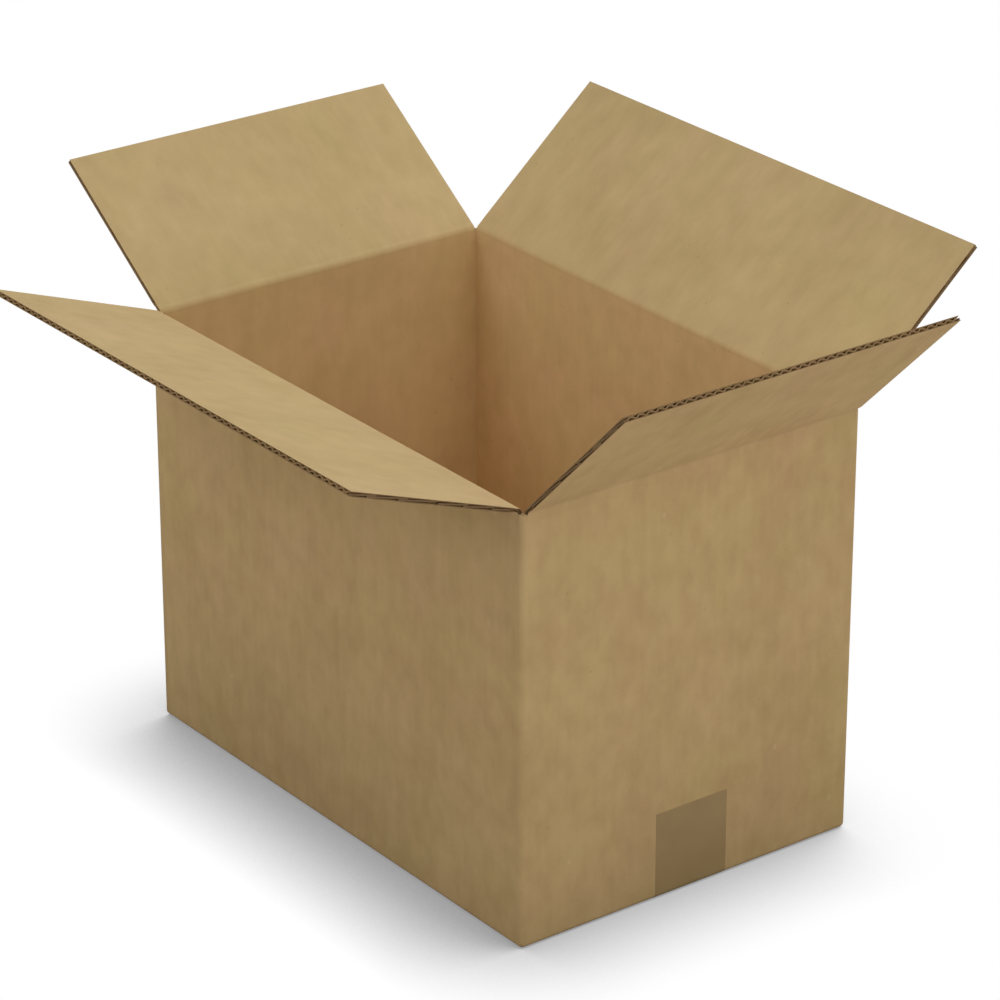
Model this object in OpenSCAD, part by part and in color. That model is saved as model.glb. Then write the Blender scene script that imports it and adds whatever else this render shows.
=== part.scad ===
// Shipping carton of single wall corrugated board, taped shut at the bottom, its four top flaps open.
// The origin is the middle of the base. +Z is up and +X runs along the long side.
// Angles of the top flaps are measured outwards from upright.

/* [Carton] */
// Inside length
inner_l = 350; // [240:1:600]
// Inside width
inner_w = 230; // [120:1:340]
// Inside height
inner_h = 250; // [80:1:500]

/* [Board] */
// Thickness of the board
board_t = 3; // [2:0.1:5]
// Thickness of each outer sheet of the board
liner_t = 0.4; // [0.2:0.05:0.6]
// Thickness of the wavy middle sheet
medium_t = 0.35; // [0.2:0.05:0.5]
// Distance from one wave of the middle sheet to the next
flute_pitch = 6.4; // [5:0.1:9]
// Length of the flat top of a wave
flute_flat = 1.3; // [0.6:0.1:1.8]

/* [Folds and slots] */
// Inside radius of a finished fold
fold_r = 0.2; // [0.1:0.1:1.5]
// Flat left between a folded corner and the slot that parts two flaps
slot_side = 0.3; // [0.1:0.1:3]
// Gap between the two long flaps where they meet
seam_gap = 7; // [2:0.5:12]
// Air between two layers of board that lie on each other
layer_gap = 0.3; // [0.1:0.1:1]
// Thickness left where a crease is pressed into the board
crease_t = 1.2; // [0.8:0.1:1.8]
// Width of the pressed flat on each side of a crease
crease_flat = 0.9; // [0.2:0.1:3]
// Width of the slope from that flat up to full thickness
crease_slope = 2.6; // [1:0.1:6]
// Length of board beyond the slope whose waves are crushed flat
crush_past = 3; // [0.5:0.5:10]

/* [Top flaps] */
// Opening of the long flap in front
front_open = 70; // [-90:1:175]
// Opening of the long flap at the back
back_open = 49; // [-90:1:175]
// Opening of the end flap on the left
left_open = 55; // [-90:1:175]
// Opening of the end flap on the right
right_open = 45; // [-90:1:175]
// Distance of a hinge line from the outer face of its wall
hinge_out = 0.15; // [0.1:0.05:0.4]
// Clearance between a flap and the board beside it
root_clear = 0.1; // [0.05:0.05:0.3]
// Thickness of the pressed lip that an end flap sinks behind when it is shut
lip_t = 1; // [0.6:0.1:1.4]

/* [Glued joint] */
// Width of the glue tab
tab_w = 35; // [20:1:60]
// Drop of the glue tab below the creases at either end
tab_drop = 4; // [1:0.5:20]
// Taper of each end of the glue tab over its width
tab_taper = 8; // [0:1:20]

/* [Tape] */
// Width of the sealing tape
tape_w = 51; // [24:1:75]
// Distance of the tape's middle from the middle of the end, towards the back
tape_shift = 2; // [0:0.5:8]
// Thickness of the tape
tape_t = 0.1; // [0.05:0.05:0.5]
// Height that the tape reaches up each end
tape_leg = 54; // [20:1:75]

/* [Hidden] */
$fn = 64;
eps = 0.01;
board_colour = [0.69, 0.55, 0.36];
flap_colour = [0.74, 0.61, 0.42];
tape_colour = [0.50, 0.40, 0.26];

outer_l = inner_l + 2 * board_t;
outer_w = inner_w + 2 * board_t;
bend_r = fold_r + board_t;
slot_w = 2 * (bend_r + slot_side);

// Distances from a long crease, along the board on either side of it.
root_gap = hinge_out + root_clear;
press_end = root_gap + crease_t + crease_flat;
slope_end = press_end + crease_slope;

// Heights, from the tape upwards: long bottom flaps, end bottom flaps, inside, end top flaps, long ones.
long_floor = tape_t;
end_toe = long_floor + layer_gap;
end_floor = long_floor + board_t + layer_gap;
inside_floor = end_floor + board_t;
inside_top = inside_floor + inner_h;
end_lid = inside_top + board_t;
long_lid = end_lid + layer_gap + board_t;
long_hinge = long_lid + hinge_out;
crease_z = long_hinge - root_gap;

// All creases are at one height, but a shut end flap lies under the long ones. So its hinge line is
// further from its face: this far, by which the flap comes level with the crease as it opens.
end_root = hinge_out + lip_t + 2 * root_clear;
end_step = crease_z - end_lid + root_clear;
end_off = (pow(end_step, 2) - pow(end_root, 2)) / (2 * end_step);
end_hinge = end_lid + end_off;
lip_reach = end_step - end_off - root_clear;

// Each flap's board has the same length, because the blank's outer edges are straight.
flap_depth = (outer_w - seam_gap) / 2;
long_panel = outer_l - slot_w;
end_panel = outer_w - slot_w;

tab_low = inside_floor + tab_drop;
tab_high = inside_top - tab_drop;

// Sides of the carton: the turn about Z that brings the right end there, and its distance.
RIGHT = [0, outer_l / 2];
BACK = [90, outer_w / 2];
LEFT = [180, outer_l / 2];
FRONT = [270, outer_w / 2];

// Puts a shape drawn for the right end, with its outer face at x = 0, on one side.
module on_side(side) {
    rotate([0, 0, side[0]])
        translate([side[1], 0, 0])
            children();
}

// Runs an upright section, drawn as (outwards, up), along a side.
module along_side(length) {
    rotate([90, 0, 0])
        linear_extrude(length, center = true)
            children();
}

// Quarter of a bent sheet around the origin, in the sector of +X and -Y.
module bend(inside_r, thickness) {
    intersection() {
        difference() {
            circle(r = inside_r + thickness);
            circle(r = inside_r);
        }
        translate([0, -(inside_r + thickness)])
            square(inside_r + thickness);
    }
}

// Section of a long wall and of the bottom flap that folds in under it.
module long_section() {
    translate([-flap_depth, long_floor])
        square([flap_depth - bend_r, board_t]);
    translate([-bend_r, long_floor + bend_r])
        bend(fold_r, board_t);
    polygon([
        [0, long_floor + bend_r],
        [0, crease_z],
        [-crease_t, crease_z - crease_t],
        [-crease_t, long_hinge - press_end],
        [-board_t, long_hinge - slope_end],
        [-board_t, long_floor + bend_r]
    ]);
}

// Section of an end wall. Its bottom flap lies on the long ones, and the fold bulges down to their
// level. At the top a thin lip is left, which ends on a circle around the hinge line.
module end_section() {
    lip_low = end_lid - crease_t - 2 * root_clear;
    lip_in = sqrt(pow(lip_reach, 2) - pow(hinge_out + lip_t, 2));
    lip_out = sqrt(pow(lip_reach, 2) - pow(hinge_out, 2));
    translate([-flap_depth, end_floor])
        square([flap_depth - board_t + eps, board_t]);
    intersection() {
        translate([-bend_r, end_toe + bend_r])
            circle(r = bend_r);
        translate([-board_t, end_toe])
            square([board_t, bend_r]);
    }
    polygon([
        [0, end_toe + bend_r],
        [0, end_hinge + lip_out],
        [-lip_t, end_hinge + lip_in],
        [-lip_t, lip_low],
        [-board_t, lip_low - crease_slope],
        [-board_t, end_toe + bend_r]
    ]);
}

// Section of an upright top flap, with its hinge line at zero height. The root starts at a height,
// and is cut back by a bevel on the inside. Its outer face is at x = 0.
module flap_section(root, bevel) {
    free_end = root + flap_depth - root_gap;
    press = root + crease_t + crease_flat;
    polygon([
        [0, root],
        [0, free_end],
        [-board_t, free_end],
        [-board_t, press + crease_slope],
        [-crease_t, press],
        [-crease_t, root + bevel]
    ]);
}

// Hollow between the wavy sheet and one liner, at one wave, drawn as (outwards, along the panel).
module flute_hollow(pitch, side) {
    half_h = board_t / 2 - liner_t;
    run = pitch / 2 - flute_flat;
    steep = run / (2 * half_h - medium_t);
    narrow = (flute_flat + medium_t * (steep - sqrt(1 + pow(steep, 2)))) / 2;
    translate([-board_t / 2, 0])
        polygon([
            [-side * half_h, -narrow - run],
            [side * (half_h - medium_t), -narrow],
            [side * (half_h - medium_t), narrow],
            [-side * half_h, narrow + run]
        ]);
}

// All hollows of a panel of corrugated board, from the crushed root upwards past the free edge.
// Half a wave ends at either side, so the sides show the open flute that the knife laid bare.
module flutes(width, start) {
    waves = round(width / flute_pitch);
    pitch = width / waves;
    translate([0, 0, start])
        linear_extrude(flap_depth)
            for (i = [0 : waves]) {
                translate([0, (i - waves / 2) * pitch])
                    flute_hollow(pitch, 1);
                if (i < waves)
                    translate([0, (i + 0.5 - waves / 2) * pitch])
                        flute_hollow(pitch, -1);
            }
}

// A top flap of a side, on a hinge line at a height and at a distance from the flap's face.
module top_flap(side, panel, hinge_z, off, root, bevel, angle) {
    width = panel - 2 * root_clear;
    on_side(side)
        translate([hinge_out, 0, hinge_z])
            rotate([0, angle, 0])
                translate([-off, 0, 0])
                    difference() {
                        along_side(width) flap_section(root, bevel);
                        flutes(width, root + crease_t + crease_flat + crease_slope + crush_past);
                    }
}

module long_top_flap(side, angle) {
    top_flap(side, long_panel, long_hinge, hinge_out, root_gap, crease_t, angle);
}

module end_top_flap(side, angle) {
    top_flap(side, end_panel, end_hinge, end_off, end_root, 0, angle);
}

// Folded corner between two panels, drawn at the front right, with a round foot.
module folded_corner() {
    flat = slot_side + eps;
    translate([outer_l / 2 - bend_r, bend_r - outer_w / 2, long_floor + bend_r]) {
        linear_extrude(crease_z - long_floor - bend_r) {
            bend(fold_r, board_t);
            translate([-flat, -bend_r])
                square([flat + eps, board_t]);
            translate([fold_r, -eps])
                square([board_t, flat + eps]);
        }
        intersection() {
            sphere(r = bend_r);
            translate([0, -bend_r, -bend_r])
                cube(bend_r);
        }
    }
}

// What rounds off the left wall where it turns in to the glue tab, in plan.
module joint_round() {
    translate([bend_r - outer_l / 2, bend_r + board_t - outer_w / 2])
        difference() {
            translate([-2 * bend_r, -2 * bend_r])
                square(2 * bend_r);
            circle(r = bend_r);
        }
}

// Glue tab, folded on from the left wall and glued to the inside of the front wall.
module glue_tab() {
    tab_y = board_t - outer_w / 2;
    tab_x = board_t - outer_l / 2;
    translate([0, 0, tab_low])
        linear_extrude(tab_high - tab_low) {
            translate([bend_r - outer_l / 2, bend_r + tab_y])
                mirror([1, 0])
                    bend(fold_r, board_t);
            translate([-outer_l / 2, bend_r + tab_y - eps])
                square([board_t, max(slot_w / 2 - board_t - bend_r, 0) + 2 * eps]);
        }
    translate([0, tab_y + board_t, 0])
        rotate([90, 0, 0])
            linear_extrude(board_t)
                polygon([
                    [bend_r - outer_l / 2, tab_low],
                    [tab_x + tab_w, tab_low + tab_taper],
                    [tab_x + tab_w, tab_high - tab_taper],
                    [bend_r - outer_l / 2, tab_high]
                ]);
}

// The folded blank: four walls, four bottom flaps, three folded corners and the glued one.
module carton_body() {
    color(board_colour) {
        for (side = [FRONT, BACK])
            on_side(side)
                along_side(long_panel) long_section();
        difference() {
            for (side = [LEFT, RIGHT])
                on_side(side)
                    along_side(end_panel) end_section();
            linear_extrude(long_hinge)
                joint_round();
        }
        folded_corner();
        mirror([0, 1, 0]) folded_corner();
        mirror([1, 0, 0]) mirror([0, 1, 0]) folded_corner();
        translate([-outer_l / 2, -outer_w / 2, long_floor + bend_r])
            cube([slot_w / 2 + eps, board_t, crease_z - long_floor - bend_r]);
        glue_tab();
    }
}

// Sealing tape along the bottom seam and up both ends.
module bottom_tape() {
    bend_x = outer_l / 2 - bend_r;
    color(tape_colour)
        translate([0, tape_shift, 0])
        rotate([90, 0, 0])
            linear_extrude(tape_w, center = true)
                for (end = [0, 1])
                    mirror([end, 0]) {
                        square([bend_x, tape_t]);
                        translate([bend_x, tape_t + bend_r])
                            bend(bend_r, tape_t);
                        translate([outer_l / 2, tape_t + bend_r])
                            square([tape_t, tape_leg - tape_t - bend_r]);
                    }
}

module front_flap() {
    color(flap_colour) long_top_flap(FRONT, front_open);
}

module back_flap() {
    color(flap_colour) long_top_flap(BACK, back_open);
}

module left_flap() {
    color(flap_colour) end_top_flap(LEFT, left_open);
}

module right_flap() {
    color(flap_colour) end_top_flap(RIGHT, right_open);
}

carton_body();
bottom_tape();
front_flap();
back_flap();
left_flap();
right_flap();
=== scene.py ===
import math

import bmesh
import bpy
from mathutils import Matrix, Vector


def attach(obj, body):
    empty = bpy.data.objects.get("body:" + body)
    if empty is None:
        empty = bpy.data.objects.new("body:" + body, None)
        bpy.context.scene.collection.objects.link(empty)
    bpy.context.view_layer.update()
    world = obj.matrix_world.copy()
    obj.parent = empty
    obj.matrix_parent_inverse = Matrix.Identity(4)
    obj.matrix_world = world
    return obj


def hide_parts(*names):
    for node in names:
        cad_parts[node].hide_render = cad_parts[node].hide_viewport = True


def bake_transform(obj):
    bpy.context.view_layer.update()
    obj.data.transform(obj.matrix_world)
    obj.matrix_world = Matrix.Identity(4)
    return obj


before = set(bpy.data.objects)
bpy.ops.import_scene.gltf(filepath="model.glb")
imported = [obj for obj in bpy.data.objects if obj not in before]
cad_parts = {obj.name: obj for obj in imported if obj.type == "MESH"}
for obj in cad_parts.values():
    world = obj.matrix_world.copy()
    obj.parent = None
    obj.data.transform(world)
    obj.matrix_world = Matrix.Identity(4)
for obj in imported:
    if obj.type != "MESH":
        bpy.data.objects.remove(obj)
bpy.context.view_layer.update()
scene = bpy.context.scene
scene.view_settings.view_transform = "Standard"

# Camera. The photograph was taken from the near right corner with a long lens, from about 2.5 m.
# Its place and lens come from a fit of the carton's own edges to the photograph.
azimuth, elevation, roll = math.radians(52.9917), math.radians(24.4155), math.radians(0.0059)
aim_height = 0.131
shift_right, shift_up, distance = -0.0012917, -0.0405721, 2.5797901
sensor, focal_px, photo_px = 36.0, 4433.8, 1000.0
nearest_seen, farthest_seen = 0.1, 20.0

back = Vector((
    math.sin(azimuth) * math.cos(elevation), -math.cos(azimuth) * math.cos(elevation), math.sin(elevation),
))
level = Vector((math.cos(azimuth), math.sin(azimuth), 0))
above = back.cross(level)
right = level * math.cos(roll) + above * math.sin(roll)
up = above * math.cos(roll) - level * math.sin(roll)
lens = bpy.data.cameras.new("camera")
lens.sensor_width = sensor
lens.lens = focal_px / photo_px * sensor
lens.clip_start, lens.clip_end = nearest_seen, farthest_seen
camera = bpy.data.objects.new("camera", lens)
place = Vector((0, 0, aim_height)) + back * distance - right * shift_right - up * shift_up
turn = Matrix((right, up, back)).transposed().to_4x4()
camera.matrix_world = Matrix.Translation(place) @ turn
scene.collection.objects.link(camera)
scene.camera = camera

# Studio. A white room with six large soft lamps: one behind, three above each other beyond the right
# end, and a low and a high one to the front left. Nothing throws a hard shadow.
room_light = 0.252
lamp_aim = (0, 0, 0.15)
room = bpy.data.worlds.new("room")
scene.world = room
room.use_nodes = True
air = room.node_tree
air.nodes.clear()
rays = air.nodes.new("ShaderNodeLightPath")
seen = air.nodes.new("ShaderNodeMath")
seen.operation = "MAXIMUM"
seen_all = air.nodes.new("ShaderNodeMath")
seen_all.operation = "MAXIMUM"
air.links.new(rays.outputs["Is Camera Ray"], seen.inputs[0])
air.links.new(rays.outputs["Is Glossy Ray"], seen.inputs[1])
air.links.new(seen.outputs[0], seen_all.inputs[0])
air.links.new(rays.outputs["Is Transmission Ray"], seen_all.inputs[1])
glow = air.nodes.new("ShaderNodeBackground")
glow.inputs["Color"].default_value = (1, 1, 1, 1)
glow.inputs["Strength"].default_value = room_light
white = air.nodes.new("ShaderNodeBackground")
white.inputs["Color"].default_value = (1, 1, 1, 1)
white.inputs["Strength"].default_value = 1
pick = air.nodes.new("ShaderNodeMixShader")
sky = air.nodes.new("ShaderNodeOutputWorld")
air.links.new(seen_all.outputs[0], pick.inputs[0])
air.links.new(glow.outputs[0], pick.inputs[1])
air.links.new(white.outputs[0], pick.inputs[2])
air.links.new(pick.outputs[0], sky.inputs["Surface"])


def soft_lamp(name, place, width, power):
    lamp = bpy.data.lights.new(name, "AREA")
    lamp.shape = "SQUARE"
    lamp.size = width
    lamp.energy = power
    holder = bpy.data.objects.new(name, lamp)
    holder.location = place
    holder.rotation_euler = (Vector(place) - Vector(lamp_aim)).to_track_quat("Z", "Y").to_euler()
    scene.collection.objects.link(holder)


soft_lamp("back_lamp", (-0.60, 2.00, 1.75), 1.8, 23.0)
soft_lamp("end_lamp", (2.58, 0.23, 0.30), 0.8, 7.5)
soft_lamp("high_end_lamp", (2.13, 0.0, 1.64), 1.4, 9.5)
soft_lamp("top_end_lamp", (1.62, 0.0, 2.20), 1.4, 5.7)
soft_lamp("front_lamp", (-0.52, -1.92, 1.82), 1.4, 15.0)
soft_lamp("low_front_lamp", (-1.25, -2.15, 0.42), 1.4, 4.6)

# Floor. A white table top. To the camera it glows plain white, with a painted shadow: a soft dark
# rim round the carton, drawn from an occlusion lookup that leans towards the back, so it is wider at
# the front. What it throws back at the carton carries painted shade: its colour is dark near the carton and
# grows lighter with the distance.
table_half = 6
shadow_reach = 0.080
shadow_depth = 0.306
painted_shadow_lean = (-0.08, 0.60, 1.0)
most_shut_in, open_enough = 0.30, 0.98
painted_shade_within, bright_beyond = 0.18, 0.50
painted_shade_white, bright_white = 0.30, 0.95
floor_mesh = bmesh.new()
bmesh.ops.create_grid(floor_mesh, x_segments=1, y_segments=1, size=table_half)
floor_data = bpy.data.meshes.new("floor")
floor_mesh.to_mesh(floor_data)
floor_mesh.free()
floor = bpy.data.objects.new("floor", floor_data)
scene.collection.objects.link(floor)
table_white = bpy.data.materials.new("table_white")
table_white.use_nodes = True
tree = table_white.node_tree
tree.nodes.clear()
path = tree.nodes.new("ShaderNodeLightPath")
dull_white = tree.nodes.new("ShaderNodeBsdfDiffuse")
spot = tree.nodes.new("ShaderNodeTexCoord")
away = tree.nodes.new("ShaderNodeVectorMath")
away.operation = "LENGTH"
# Painted shade: the floor's colour is darker near the carton, so it throws back less light there.
painted_floor_shade = tree.nodes.new("ShaderNodeMapRange")
painted_floor_shade.inputs["From Min"].default_value = painted_shade_within
painted_floor_shade.inputs["From Max"].default_value = bright_beyond
painted_floor_shade.inputs["To Min"].default_value = painted_shade_white
painted_floor_shade.inputs["To Max"].default_value = bright_white
tree.links.new(spot.outputs["Object"], away.inputs[0])
tree.links.new(away.outputs["Value"], painted_floor_shade.inputs["Value"])
tree.links.new(painted_floor_shade.outputs["Result"], dull_white.inputs["Color"])
# Painted shadow: to the camera the floor's glow is darkened where the carton shuts it in.
open_air = tree.nodes.new("ShaderNodeAmbientOcclusion")
open_air.samples = 12
open_air.inputs["Distance"].default_value = shadow_reach
lean = tree.nodes.new("ShaderNodeCombineXYZ")
for socket, value in zip(lean.inputs, Vector(painted_shadow_lean).normalized()):
    socket.default_value = value
tree.links.new(lean.outputs[0], open_air.inputs["Normal"])
shade = tree.nodes.new("ShaderNodeMapRange")
shade.inputs["From Min"].default_value = most_shut_in
shade.inputs["From Max"].default_value = open_enough
shade.inputs["To Min"].default_value = shadow_depth
shade.inputs["To Max"].default_value = 1.0
lit = tree.nodes.new("ShaderNodeEmission")
choose = tree.nodes.new("ShaderNodeMixShader")
surface = tree.nodes.new("ShaderNodeOutputMaterial")
tree.links.new(open_air.outputs["AO"], shade.inputs["Value"])
tree.links.new(shade.outputs["Result"], lit.inputs["Strength"])
tree.links.new(path.outputs["Is Camera Ray"], choose.inputs[0])
tree.links.new(dull_white.outputs[0], choose.inputs[1])
tree.links.new(lit.outputs[0], choose.inputs[2])
tree.links.new(choose.outputs[0], surface.inputs["Surface"])
floor_data.materials.append(table_white)

# Kraft board. Two sheets of brown kraft paper with a wavy sheet glued between them. The waves run
# up the walls, and show through the sheets as faint stripes among the paper's fibres and clouds.
mm = 0.001
flute_pitch = 6.4 * mm
paper_dark = (0.427, 0.278, 0.119, 1)
paper_light = (0.638, 0.450, 0.217, 1)
inside_dark = (0.555, 0.395, 0.184, 1)
inside_light = (0.748, 0.560, 0.282, 1)
paper_roughness = 0.86
paper_sheen = 0.25
flecks = (
    ((0.66, 0.51, 0.30, 1), (95, 95, 60), 0.05, 0.10),
    ((0.24, 0.15, 0.07, 1), (240, 240, 240), 0.06, 0.02),
)
fleck_strength = 0.40
tint_rosy, tint_straw = (1.05, 0.985, 1.09, 1), (0.955, 1.01, 0.88, 1)
# Painted light: the inside paper is made lighter below the creases, inside the carton.
painted_inside_light = (1.106, 1.066, 1.095, 1)
painted_light_from, painted_light_to = 263.4 * mm, 260.6 * mm


def paper_material(name, dark, light, fibre_share, bump_height, lift=None):
    """Kraft paper. Its pattern lies on the flat blank, which the vertices keep as an attribute.

    With a lift, it is painted lighter where it lies below the creases, inside the carton: painted light.
    """
    made = bpy.data.materials.new(name)
    made.use_nodes = True
    tree = made.node_tree
    nodes, link = tree.nodes, tree.links.new
    shader = nodes["Principled BSDF"]
    shader.inputs["Roughness"].default_value = paper_roughness
    shader.inputs["Specular IOR Level"].default_value = paper_sheen
    blank = nodes.new("ShaderNodeAttribute")
    blank.attribute_name = "blank"

    def noise(scale, detail, stretch):
        turn = nodes.new("ShaderNodeMapping")
        turn.inputs["Scale"].default_value = stretch
        link(blank.outputs["Vector"], turn.inputs["Vector"])
        made_noise = nodes.new("ShaderNodeTexNoise")
        made_noise.inputs["Scale"].default_value = scale
        made_noise.inputs["Detail"].default_value = detail
        link(turn.outputs["Vector"], made_noise.inputs["Vector"])
        return made_noise.outputs["Fac"]

    def sums(operation, one, other):
        step = nodes.new("ShaderNodeMath")
        step.operation = operation
        for socket, value in zip(step.inputs, (one, other)):
            if isinstance(value, (int, float)):
                socket.default_value = value
            else:
                link(value, socket)
        return step.outputs[0]

    clouds = noise(15, 5, (1, 1, 0.8))
    blotches = noise(1, 5, (80, 60, 58))
    streaks = noise(1, 3, (150, 60, 34))
    fibres = noise(1, 3, (500, 600, 1100))
    grain = noise(2400, 2, (1, 1, 1))
    split = nodes.new("ShaderNodeSeparateXYZ")
    link(blank.outputs["Vector"], split.inputs[0])
    wave = sums("SINE", sums("MULTIPLY", split.outputs["X"], 2 * math.pi / flute_pitch), 0)

    tone = sums("MULTIPLY", wave, 0.012)
    for pattern, strength in (
        (clouds, 0.85), (blotches, 0.75), (streaks, 0.22), (fibres, fibre_share), (grain, 0.22),
    ):
        tone = sums("ADD", tone, sums("MULTIPLY", sums("SUBTRACT", pattern, 0.5), strength))
    colour = nodes.new("ShaderNodeMix")
    colour.data_type = "RGBA"
    colour.inputs["A"].default_value = dark
    colour.inputs["B"].default_value = light
    link(sums("ADD", tone, 0.5), colour.inputs["Factor"])
    last = colour.outputs["Result"]
    for fleck, cells, reach, share in flecks:
        squeeze = nodes.new("ShaderNodeMapping")
        squeeze.inputs["Scale"].default_value = cells
        link(blank.outputs["Vector"], squeeze.inputs["Vector"])
        spots = nodes.new("ShaderNodeTexVoronoi")
        spots.inputs["Scale"].default_value = 1
        link(squeeze.outputs["Vector"], spots.inputs["Vector"])
        few = nodes.new("ShaderNodeSeparateColor")
        link(spots.outputs["Color"], few.inputs[0])
        chosen = sums("LESS_THAN", few.outputs[0], share)
        soft = nodes.new("ShaderNodeMapRange")
        soft.inputs["From Min"].default_value = reach
        soft.inputs["From Max"].default_value = reach * 3
        soft.inputs["To Min"].default_value = fleck_strength
        soft.inputs["To Max"].default_value = 0
        link(spots.outputs["Distance"], soft.inputs["Value"])
        flecked = nodes.new("ShaderNodeMix")
        flecked.data_type = "RGBA"
        link(sums("MULTIPLY", chosen, soft.outputs["Result"]), flecked.inputs["Factor"])
        link(last, flecked.inputs["A"])
        flecked.inputs["B"].default_value = fleck
        last = flecked.outputs["Result"]
    tints = nodes.new("ShaderNodeMix")
    tints.data_type = "RGBA"
    link(noise(21, 3, (1, 1, 0.8)), tints.inputs["Factor"])
    tints.inputs["A"].default_value = tint_rosy
    tints.inputs["B"].default_value = tint_straw
    washed = nodes.new("ShaderNodeMix")
    washed.data_type = "RGBA"
    washed.blend_type = "MULTIPLY"
    washed.inputs["Factor"].default_value = 1
    link(last, washed.inputs["A"])
    link(tints.outputs["Result"], washed.inputs["B"])
    last = washed.outputs["Result"]
    # Painted light: lighter below the creases, inside the carton.
    if lift:
        below = nodes.new("ShaderNodeMapRange")
        link(split.outputs["Z"], below.inputs["Value"])
        below.inputs["From Min"].default_value = painted_light_from
        below.inputs["From Max"].default_value = painted_light_to
        painted_lighter = nodes.new("ShaderNodeMix")
        painted_lighter.data_type = "RGBA"
        painted_lighter.blend_type = "MULTIPLY"
        painted_lighter.inputs["B"].default_value = lift
        link(below.outputs["Result"], painted_lighter.inputs["Factor"])
        link(last, painted_lighter.inputs["A"])
        last = painted_lighter.outputs["Result"]
    link(last, shader.inputs["Base Color"])

    relief = sums("ADD", sums("MULTIPLY", fibres, 0.35), sums("MULTIPLY", grain, 0.25))
    relief = sums("ADD", relief, sums("MULTIPLY", wave, 0.30))
    bump = nodes.new("ShaderNodeBump")
    bump.inputs["Strength"].default_value = 1
    bump.inputs["Distance"].default_value = bump_height
    link(relief, bump.inputs["Height"])
    link(bump.outputs["Normal"], shader.inputs["Normal"])
    return made


paper_bump, cut_bump = 0.05 * mm, 0.10 * mm
kraft_paper = paper_material("kraft_paper", paper_dark, paper_light, 0.20, paper_bump)
# The inside paper carries painted light below the creases.
kraft_inside = paper_material("kraft_inside", inside_dark, inside_light, 0.20, paper_bump, painted_inside_light)
cut_paper = paper_material("cut_paper", (0.205, 0.120, 0.050, 1), (0.320, 0.205, 0.095, 1), 0.5, cut_bump)
torn_paper = paper_material("torn_paper", (0.145, 0.082, 0.034, 1), (0.250, 0.158, 0.075, 1), 0.4, cut_bump)

# Walls. One strip of board, folded at four corners, with the joint at the front left corner. The
# folds at the bottom are pressed round, and the strip is cut down where a flap folds. At the top of
# a folded corner the papers are pressed together, so that no cut edge shows.
outer_l, outer_w = 356 * mm, 236 * mm
board_t = 3 * mm
bend_r = 3.2 * mm
bend_steps = 8
slot_half = 3.5 * mm
floor_z = 0.1 * mm
fold_z = floor_z + bend_r
crease_z = 262.6 * mm
seam_z = 256.0 * mm
panel_l, panel_w = outer_l - 2 * slot_half, outer_w - 2 * slot_half
bend_x, bend_y = outer_l / 2 - bend_r, outer_w / 2 - bend_r
joint_y = board_t + bend_r - outer_w / 2
hair = 0.05 * mm
nearly = 0.02
FRONT, RIGHT, BACK, LEFT = range(4)
side_middle = (0, (outer_l + outer_w) / 2, outer_l + outer_w, 1.5 * (outer_l + outer_w))


def run_on(mesh, rung, step):
    """Carries the strip's end edge straight on by a step, and gives the new end edge."""
    made = bmesh.ops.extrude_edge_only(mesh, edges=rung)["geom"]
    verts = [g for g in made if isinstance(g, bmesh.types.BMVert)]
    bmesh.ops.translate(mesh, verts=verts, vec=step)
    return [g for g in made if isinstance(g, bmesh.types.BMEdge) and all(v in verts for v in g.verts)]


def fold(mesh, rung, centre, axis, angle, steps):
    """Carries the strip's end edge round a fold, and gives the new end edge."""
    verts = list({v for e in rung for v in e.verts})
    made = bmesh.ops.spin(
        mesh, geom=rung + verts, cent=centre, axis=axis, dvec=(0, 0, 0), angle=angle, steps=steps,
        use_merge=False, use_duplicate=False,
    )
    return [g for g in made["geom_last"] if isinstance(g, bmesh.types.BMEdge)]


def blank_along(x, y):
    """How far along the flat blank a point of the walls lies, from the middle of the front wall."""
    corner = Vector((max(-bend_x, min(x, bend_x)), max(-bend_y, min(y, bend_y))))
    out = Vector((x, y)) - corner
    if out.length < 1e-7:
        return x
    turned = math.atan2(out.x, -out.y) % (2 * math.pi)
    quarter = turned / (math.pi / 2)
    side = int(quarter + nearly) % 4
    flat = (corner.x, corner.y, -corner.x, -corner.y)[side]
    bent = max(0.0, quarter - side) * 2 * bend_r
    return side_middle[side] + flat + bent


def board_piece(name, mesh, body, materials):
    """Makes a bmesh a piece of the carton's board and lets it ride on a body."""
    data = bpy.data.meshes.new(name)
    mesh.to_mesh(data)
    mesh.free()
    for material in materials:
        data.materials.append(material)
    piece = bpy.data.objects.new(name, data)
    scene.collection.objects.link(piece)
    if body:
        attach(piece, body)
    return piece


walls = bmesh.new()
blank = walls.verts.layers.float_vector.new("blank")
column = [walls.verts.new((-outer_l / 2, -outer_w / 2, z)) for z in (fold_z, seam_z, crease_z)]
end = [walls.edges.new(pair) for pair in zip(column, column[1:])]
for first, last, (ux, uy), (cx, cy) in (
    (-outer_l / 2, bend_x, (1, 0), (bend_x, -bend_y)),
    (-bend_y, bend_y, (0, 1), (bend_x, bend_y)),
    (-bend_x, bend_x, (-1, 0), (-bend_x, bend_y)),
    (-bend_y, -joint_y, (0, -1), (-bend_x, joint_y)),
):
    half_panel = (panel_l if ux else panel_w) / 2
    stops = [s for s in (-half_panel, half_panel) if first < s < last] + [last]
    at = first
    for stop in stops:
        end = run_on(walls, end, Vector((ux, uy, 0)) * (stop - at))
        at = stop
    end = fold(walls, end, (cx, cy, 0), (0, 0, 1), math.pi / 2, bend_steps)


def within_panel(point):
    return abs(point.x) < panel_l / 2 - hair or abs(point.y) < panel_w / 2 - hair


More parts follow.
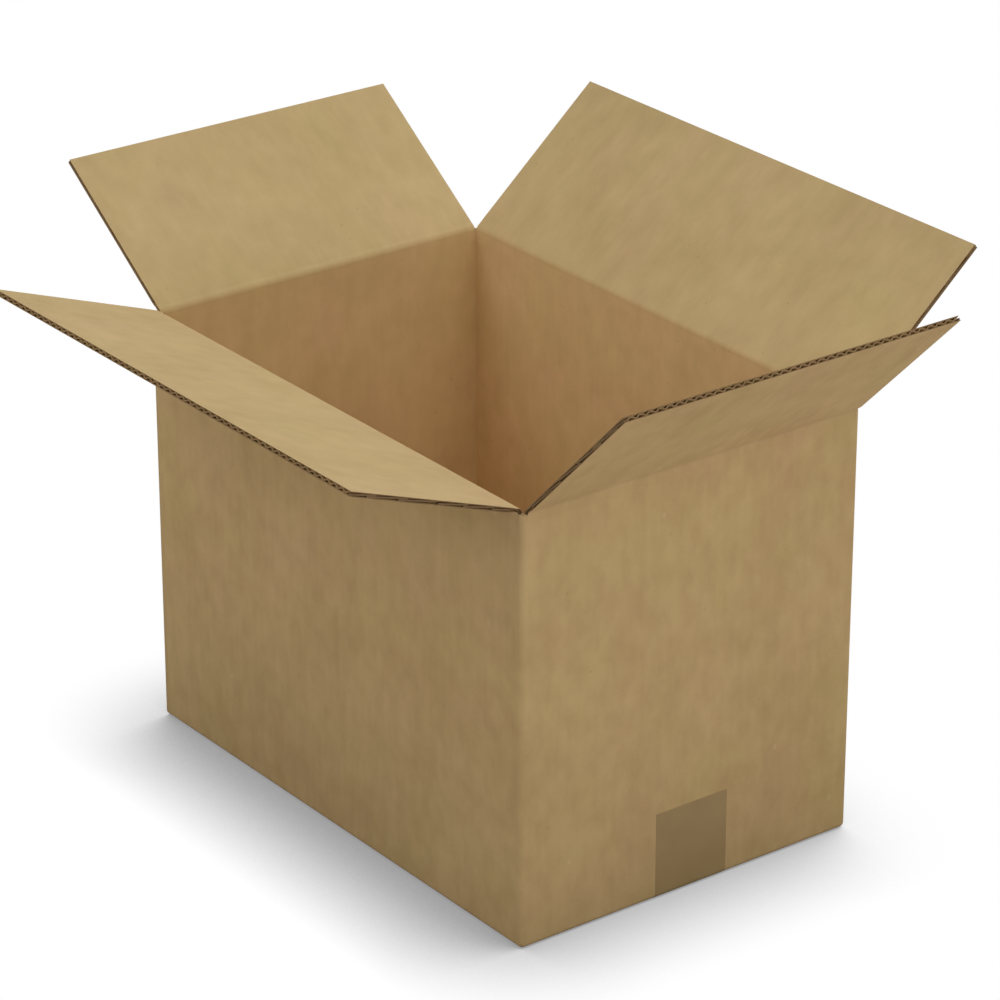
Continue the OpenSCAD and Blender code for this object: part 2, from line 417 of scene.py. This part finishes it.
panel_tops = [
    f for f in walls.faces if f.calc_center_median().z > seam_z and within_panel(f.calc_center_median())
]
bmesh.ops.delete(walls, geom=panel_tops, context="FACES")
walls_cut_open = [kraft_paper, cut_paper, kraft_inside]
corners_pressed_shut = [kraft_paper, kraft_paper, kraft_inside]
for f in walls.faces:
    middle = f.calc_center_median()
    at_joint = middle.x < -panel_l / 2 and middle.y < -panel_w / 2
    if middle.z > seam_z and not at_joint:
        f.material_index = len(walls_cut_open)


def fold_centre(x, y):
    """The line that a wall's bottom fold turns about, below a point of the wall."""
    behind_joint = x < hair - bend_x and y > -outer_w / 2 + bend_r / 2
    low = joint_y if behind_joint else -bend_y
    on_raw_end = x < hair - outer_l / 2 and y < -outer_w / 2 + board_t
    return (x if on_raw_end else max(-bend_x, min(x, bend_x))), max(low, min(y, bend_y))


ring = [e for e in walls.edges if all(abs(v.co.z - fold_z) < hair for v in e.verts)]
for k in range(bend_steps):
    before, after = math.pi / 2 * k / bend_steps, math.pi / 2 * (k + 1) / bend_steps
    shrink = math.cos(after) / math.cos(before)
    made = bmesh.ops.extrude_edge_only(walls, edges=ring)["geom"]
    verts = [g for g in made if isinstance(g, bmesh.types.BMVert)]
    ring = [g for g in made if isinstance(g, bmesh.types.BMEdge) and all(v in verts for v in g.verts)]
    for v in verts:
        cx, cy = fold_centre(v.co.x, v.co.y)
        v.co.x = cx + (v.co.x - cx) * shrink
        v.co.y = cy + (v.co.y - cy) * shrink
        v.co.z = fold_z - bend_r * math.sin(after)
bmesh.ops.remove_doubles(walls, verts=walls.verts[:], dist=0.01 * mm)
bmesh.ops.recalc_face_normals(walls, faces=walls.faces[:])
for v in walls.verts:
    v[blank] = Vector((blank_along(v.co.x, v.co.y), 0, v.co.z))
for f in walls.faces:
    f.smooth = True
outward = sum(f.calc_area() * f.normal.dot(f.calc_center_median() * Vector((1, 1, 0))) for f in walls.faces)
if outward < 0:
    bmesh.ops.reverse_faces(walls, faces=walls.faces[:])
carton_walls = board_piece("carton_walls", walls, "carton", walls_cut_open + corners_pressed_shut)
board = carton_walls.modifiers.new("board", "SOLIDIFY")
board.thickness = board_t
board.offset = -1
board.use_even_offset = True
board.use_rim = True
board.material_offset_rim = 1
board.material_offset = 2
flat_sides = carton_walls.modifiers.new("flat_sides", "WEIGHTED_NORMAL")
flat_sides.keep_sharp = True
carton_walls.data.set_sharp_from_angle(angle=math.radians(30))
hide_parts("carton_body")

# Top flaps. Each is cut from the same blank as its wall and turns at a pressed crease, where the
# waves are crushed. Its free edges show the waves and the dark inside of the board.
liner_t, medium_t = 0.4 * mm, 0.8 * mm
flap_depth, end_flap_depth = 114.5 * mm, 115.6 * mm
crease_line = crease_z + 0.25 * mm
bend_rows, flat_rows = 28, 6
crush_rows = (0.15, 0.35, 0.6, 1.0)
crease_reach = 6.0 * mm
inner_reach = 1.3 * mm
pressed_t = 2.9 * mm
crush_past = 12 * mm
crushed_height = 0.12
wave_roundness = 0.75
side_gap = 0.1 * mm
sharp_past = math.radians(35)
edge_on = 0.3
edge_strip = 1.4 * mm
streak_length = 19 * mm
torn_t = 0.9 * mm
tongue_reach, reach_change, streak_change = 1.25, 0.2, 0.12
tongue_rows, points_a_wave = 8, 10
side_turn = (-math.pi / 2, 0.0, math.pi / 2, math.pi)
side_out = (outer_w / 2, outer_l / 2, outer_w / 2, outer_l / 2)
papers = [kraft_paper, cut_paper, torn_paper, kraft_inside]
OUTSIDE, CUT, TORN, INSIDE = range(4)


def ease(t):
    t = max(0.0, min(1.0, t))
    return t * t * (3 - 2 * t)


def steps(first, last, count):
    return [first + (last - first) * k / count for k in range(count + 1)]


def paper_sheet(mesh, across, along, offset, thickness, material, rim):
    """A sheet of paper in the blank, drawn as (outwards, across, along), from its outer face inwards."""
    columns, rows = len(across) - 1, len(along) - 1
    made = bmesh.ops.create_grid(mesh, x_segments=columns, y_segments=rows, size=0.5)
    verts = made["verts"]
    for v in verts:
        s = across[round((v.co.x + 0.5) * columns)]
        u = along[round((v.co.y + 0.5) * rows)]
        v.co = (offset(s, u), s, u)
    faces = list({f for v in verts for f in v.link_faces})
    mesh.normal_update()
    solid = bmesh.ops.solidify(mesh, geom=faces, thickness=thickness)
    shell = set(verts) | {g for g in solid["geom"] if isinstance(g, bmesh.types.BMVert)}
    mesh.normal_update()
    for f in {f for v in shell for f in v.link_faces}:
        f.smooth = True
        f.material_index = rim if abs(f.normal.x) < edge_on else material


def crease_share(u):
    """1 on the crease, falling to 0 where the board has its full thickness again."""
    return 0.5 + 0.5 * math.cos(math.pi * max(-1.0, min(1.0, u / crease_reach)))


def board_depth(u):
    return board_t - (board_t - pressed_t) * crease_share(u)


def open_height(u):
    """How far the waves are from being crushed, from 0 to 1."""
    return crushed_height + (1 - crushed_height) * ease((u - crease_reach) / crush_past)


def flap_rows(low, high):
    """Where the sheets of a flap are divided, from the seam in its wall up to its free edge."""
    rows = [low] + steps(-crease_reach, crease_reach, bend_rows)
    rows += [crease_reach + crush_past * t for t in crush_rows]
    return rows + steps(rows[-1], high, flat_rows)[1:]


def corrugated(mesh, width, rows, depth, waves_open, seed):
    """Two flat sheets, the waves between them and the torn waves that the knife left at the sides."""
    half = width / 2
    waves = round(width / flute_pitch)
    pitch = width / waves
    paper_sheet(mesh, [-half, half], rows, lambda s, u: 0, liner_t, OUTSIDE, CUT)
    paper_sheet(mesh, [-half, half], rows, lambda s, u: liner_t - depth(u), liner_t, INSIDE, CUT)

    def wave(s, u):
        room = max(0.0, (depth(u) - 2 * liner_t - medium_t) / 2) * waves_open(u)
        swing = math.sin(2 * math.pi * s / pitch)
        return (medium_t - depth(u)) / 2 + room * math.copysign(abs(swing) ** wave_roundness, swing)

    inside = half - edge_strip
    paper_sheet(mesh, steps(-inside, inside, waves * points_a_wave), rows, wave, medium_t, OUTSIDE, CUT)

    low, high = max(rows[0], crease_reach), rows[-1]
    room = (board_t - 2 * liner_t - torn_t) / 2
    for side in (-1, 1):
        strip = sorted((side * inside, side * (half - side_gap)))
        start = low - seed % 1 * streak_length
        while start < high:
            reach = streak_length * (tongue_reach + reach_change * math.sin(start / mm + seed))
            first, last = max(low, start), min(high, start + reach)

            def torn(s, u):
                return (torn_t - board_t) / 2 + room * (2 * (u - start) / reach - 1) * waves_open(u)

            if last - first > torn_t:
                paper_sheet(mesh, strip, steps(first, last, tongue_rows), torn, torn_t, TORN, TORN)
            start += streak_length * (1 + streak_change * math.sin(2 * start / mm))


def top_flap(name, side, width, hinge, shut_step, angle, seed):
    """A flap with the strip of wall under it, drawn upright and folded about its hinge line."""
    free = end_flap_depth if shut_step else flap_depth
    lift = crease_line - hinge[1]
    rows = flap_rows(seam_z - crease_line, free - lift)
    mesh = bmesh.new()
    blank = mesh.verts.layers.float_vector.new("blank")
    corrugated(mesh, width - 2 * side_gap, rows, board_depth, open_height, seed)
    for v in mesh.verts:
        v[blank] = Vector((side_middle[side] + v.co.y, v.co.x, v.co.z + crease_z))
        if v.co.z < 0:
            v.co.y *= width / (width - 2 * side_gap)
        reach = crease_reach + (crease_reach - inner_reach) * v.co.x / board_t
        share = ease((v.co.z + reach) / (2 * reach))
        out = v.co.x - shut_step * share - hinge[0]
        rise = v.co.z + lift
        turned = share * angle
        v.co.x = hinge[0] + out * math.cos(turned) + rise * math.sin(turned)
        v.co.z = hinge[1] + rise * math.cos(turned) - out * math.sin(turned)
    around = Matrix.Rotation(side_turn[side], 3, "Z")
    bmesh.ops.translate(mesh, verts=mesh.verts[:], vec=(side_out[side], 0, 0))
    bmesh.ops.rotate(mesh, verts=mesh.verts[:], cent=(0, 0, 0), matrix=around)
    piece = board_piece(name + "_board", mesh, None, papers)
    flat = piece.modifiers.new("flat_sides", "WEIGHTED_NORMAL")
    flat.keep_sharp = True
    piece.data.set_sharp_from_angle(angle=sharp_past)
    mid = -board_t / 2
    out, rise = mid - shut_step - hinge[0], crease_reach + lift
    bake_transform(piece)
    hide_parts(name)
    return piece


hinge_out, end_hinge_out = 0.15 * mm, 1.37386 * mm
long_hinge = (hinge_out, crease_line)
end_hinge = (hinge_out, 260.77386 * mm)
end_step = end_hinge_out - hinge_out
top_flap("front_flap", FRONT, panel_l, long_hinge, 0.0, math.radians(70), 0.4)
top_flap("back_flap", BACK, panel_l, long_hinge, 0.0, math.radians(49), 2.1)
top_flap("left_flap", LEFT, panel_w, end_hinge, end_step, math.radians(55), 3.3)
top_flap("right_flap", RIGHT, panel_w, end_hinge, end_step, math.radians(45), 5.2)

# Bottom flaps. The long pair is folded in under the end pair and leaves a slit along the middle.
# Each hangs on its wall's bottom fold, and their free edges show the waves.
end_floor = 3.4 * mm
long_flat, end_flat = flap_depth - bend_r, flap_depth - board_t


def full_depth(u):
    return board_t


def fully_open(u):
    return 1.0


for name, side, width, flat_depth, level_z, seed in (
    ("front_bottom_flap", FRONT, panel_l, long_flat, floor_z, 0.9),
    ("back_bottom_flap", BACK, panel_l, long_flat, floor_z, 4.0),
    ("left_bottom_flap", LEFT, panel_w, end_flat, end_floor, 1.7),
    ("right_bottom_flap", RIGHT, panel_w, end_flat, end_floor, 2.8),
):
    mesh = bmesh.new()
    blank = mesh.verts.layers.float_vector.new("blank")
    corrugated(mesh, width, steps(0, flat_depth, 4), full_depth, fully_open, seed)
    for v in mesh.verts:
        v[blank] = Vector((side_middle[side] - v.co.y, v.co.x, -v.co.z))
    lay_in = Matrix.Rotation(math.pi, 3, "Z") @ Matrix.Rotation(math.pi / 2, 3, "Y")
    bmesh.ops.rotate(mesh, verts=mesh.verts[:], cent=(0, 0, 0), matrix=lay_in)
    around = Matrix.Rotation(side_turn[side], 3, "Z")
    bmesh.ops.translate(mesh, verts=mesh.verts[:], vec=(side_out[side] + flat_depth - flap_depth, 0, level_z))
    bmesh.ops.rotate(mesh, verts=mesh.verts[:], cent=(0, 0, 0), matrix=around)
    flap = board_piece(name, mesh, "carton", papers)
    flap.data.set_sharp_from_angle(angle=sharp_past)

# Glue tab. It is the last panel of the blank, folded on from the left wall, with both ends cut
# at a slant, and glued to the inside of the front wall.
tab_w, tab_drop, tab_taper = 35 * mm, 4 * mm, 8 * mm
wall_foot, wall_head = end_floor + board_t, 256.4 * mm
tab_low, tab_high = wall_foot + tab_drop, wall_head - tab_drop
tab_flat = tab_w + board_t - bend_r
mesh = bmesh.new()
blank = mesh.verts.layers.float_vector.new("blank")
corrugated(mesh, tab_flat, steps(tab_low, tab_high, 12), full_depth, fully_open, 1.3)
tab_middle = (tab_low + tab_high) / 2
for v in mesh.verts:
    v[blank] = Vector((side_middle[LEFT] + outer_w / 2 + tab_w + v.co.y, v.co.x, v.co.z))
    share = (v.co.y + tab_flat / 2) / tab_flat
    v.co.z = tab_middle + (v.co.z - tab_middle) * (1 - 2 * tab_taper * share / (tab_high - tab_low))
bmesh.ops.translate(mesh, verts=mesh.verts[:], vec=(outer_w / 2 - board_t, tab_flat / 2 - bend_x, 0))
to_front = Matrix.Rotation(side_turn[FRONT], 3, "Z")
bmesh.ops.rotate(mesh, verts=mesh.verts[:], cent=(0, 0, 0), matrix=to_front)
glue_tab = board_piece("glue_tab", mesh, "carton", papers)
glue_tab.data.set_sharp_from_angle(angle=sharp_past)

# Tape. A strip of brown packing tape over the bottom slit and up both ends, stuck on flat, with
# faint marks of the roll along it.
tape_dark, tape_light = (0.324, 0.216, 0.090, 1), (0.392, 0.272, 0.121, 1)
tape_roughness, tape_sheen = 0.48, 0.4
roll_marks = (25, 500, 25)
tape_bump = 0.04 * mm
brown_tape = bpy.data.materials.new("brown_tape")
brown_tape.use_nodes = True
tree = brown_tape.node_tree
film = tree.nodes["Principled BSDF"]
film.inputs["Roughness"].default_value = tape_roughness
film.inputs["Specular IOR Level"].default_value = tape_sheen
where = tree.nodes.new("ShaderNodeTexCoord")
turn = tree.nodes.new("ShaderNodeMapping")
turn.inputs["Scale"].default_value = roll_marks
marks = tree.nodes.new("ShaderNodeTexNoise")
marks.inputs["Scale"].default_value = 1
marks.inputs["Detail"].default_value = 4
board_under = tree.nodes.new("ShaderNodeTexNoise")
board_under.inputs["Scale"].default_value = 60
board_under.inputs["Detail"].default_value = 5
tones = tree.nodes.new("ShaderNodeMix")
tones.data_type = "RGBA"
tones.inputs["A"].default_value = tape_dark
tones.inputs["B"].default_value = tape_light
both = tree.nodes.new("ShaderNodeMath")
both.operation = "MULTIPLY"
dents = tree.nodes.new("ShaderNodeBump")
dents.inputs["Distance"].default_value = tape_bump
tree.links.new(where.outputs["Object"], turn.inputs["Vector"])
tree.links.new(where.outputs["Object"], board_under.inputs["Vector"])
tree.links.new(turn.outputs["Vector"], marks.inputs["Vector"])
tree.links.new(marks.outputs["Fac"], both.inputs[0])
tree.links.new(board_under.outputs["Fac"], both.inputs[1])
tree.links.new(board_under.outputs["Fac"], tones.inputs["Factor"])
tree.links.new(tones.outputs["Result"], film.inputs["Base Color"])
tree.links.new(both.outputs[0], dents.inputs["Height"])
tree.links.new(dents.outputs["Normal"], film.inputs["Normal"])
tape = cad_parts["bottom_tape"]
tape.data.materials.clear()
tape.data.materials.append(brown_tape)
